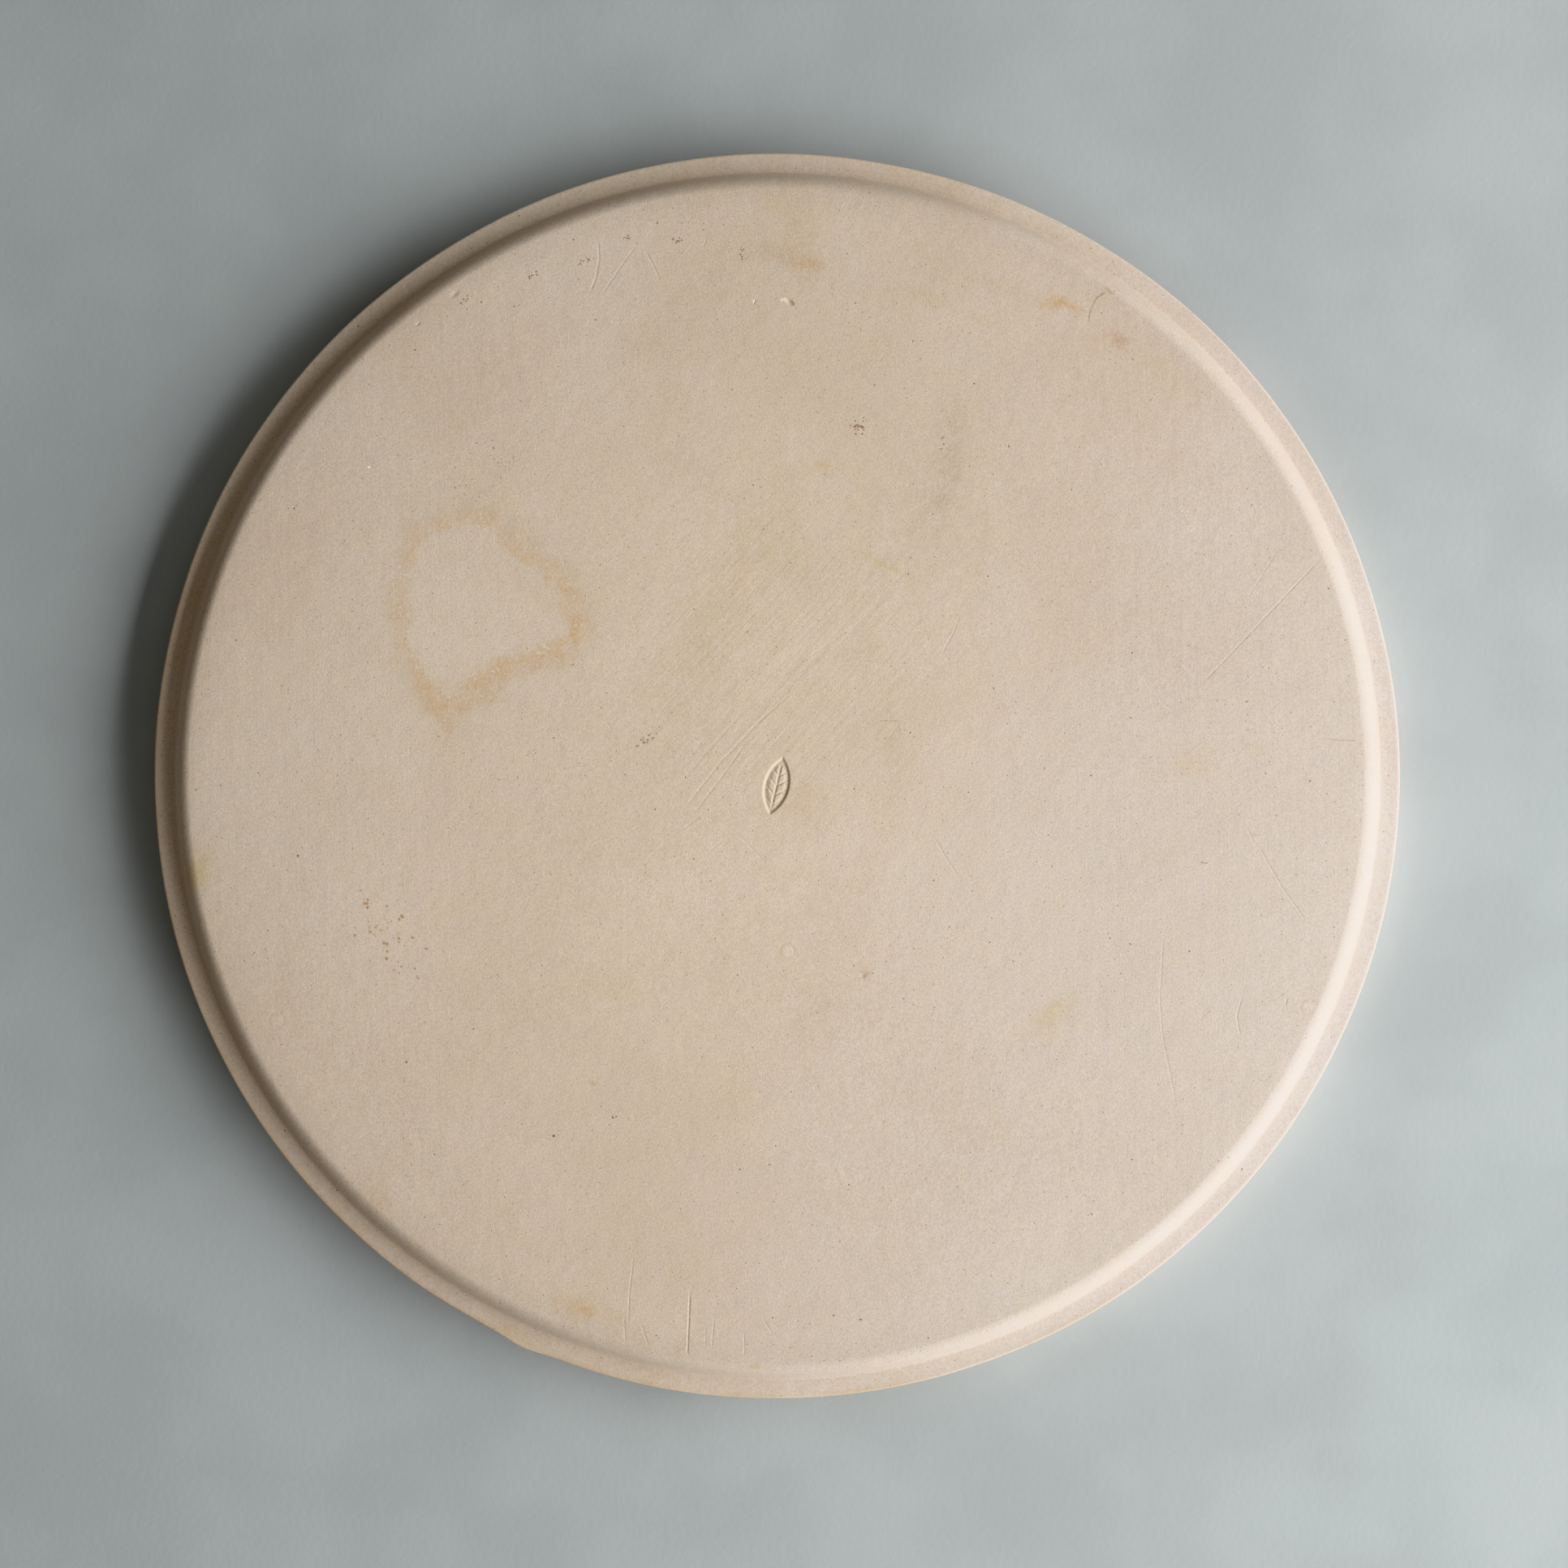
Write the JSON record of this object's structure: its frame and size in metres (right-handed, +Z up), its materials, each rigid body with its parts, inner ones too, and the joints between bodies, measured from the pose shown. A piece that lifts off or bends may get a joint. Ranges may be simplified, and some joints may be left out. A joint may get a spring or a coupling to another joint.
{
  "type": "plaster mould",
  "caption": "Round one-part hump mould: a flat plaster plateau with a rounded edge, a short sloping wall and a flat trimming lip, cast in two layers round a wire cage.",
  "frame": {"origin": "middle of the flat underside, on the surface the mould lies on", "axes": "+Z up, out of the working plateau; +X to the right and +Y away from a person who reads the impressed mark upright"},
  "size_m": [0.381, 0.381, 0.019],
  "materials": {
    "face_plaster": "matte",
    "backing_plaster": "matte",
    "galvanised_wire": "satin",
    "tie_wire": "matte"
  },
  "bodies": {
    "root": {"face_coat": "face_plaster", "backing_cast": "backing_plaster", "hoop_outer": "galvanised_wire", "hoop_middle": "galvanised_wire", "hoop_inner": "galvanised_wire", "spoke_1": "galvanised_wire", "spoke_2": "galvanised_wire", "spoke_3": "galvanised_wire", "spoke_4": "galvanised_wire", "spoke_5": "galvanised_wire", "spoke_6": "galvanised_wire", "spoke_7": "galvanised_wire", "spoke_8": "galvanised_wire", "tie_01": "tie_wire", "tie_02": "tie_wire", "tie_03": "tie_wire", "tie_04": "tie_wire", "tie_05": "tie_wire", "tie_06": "tie_wire", "tie_07": "tie_wire", "tie_08": "tie_wire", "tie_09": "tie_wire", "tie_10": "tie_wire", "tie_11": "tie_wire", "tie_12": "tie_wire"}
  },
  "joints": []
}
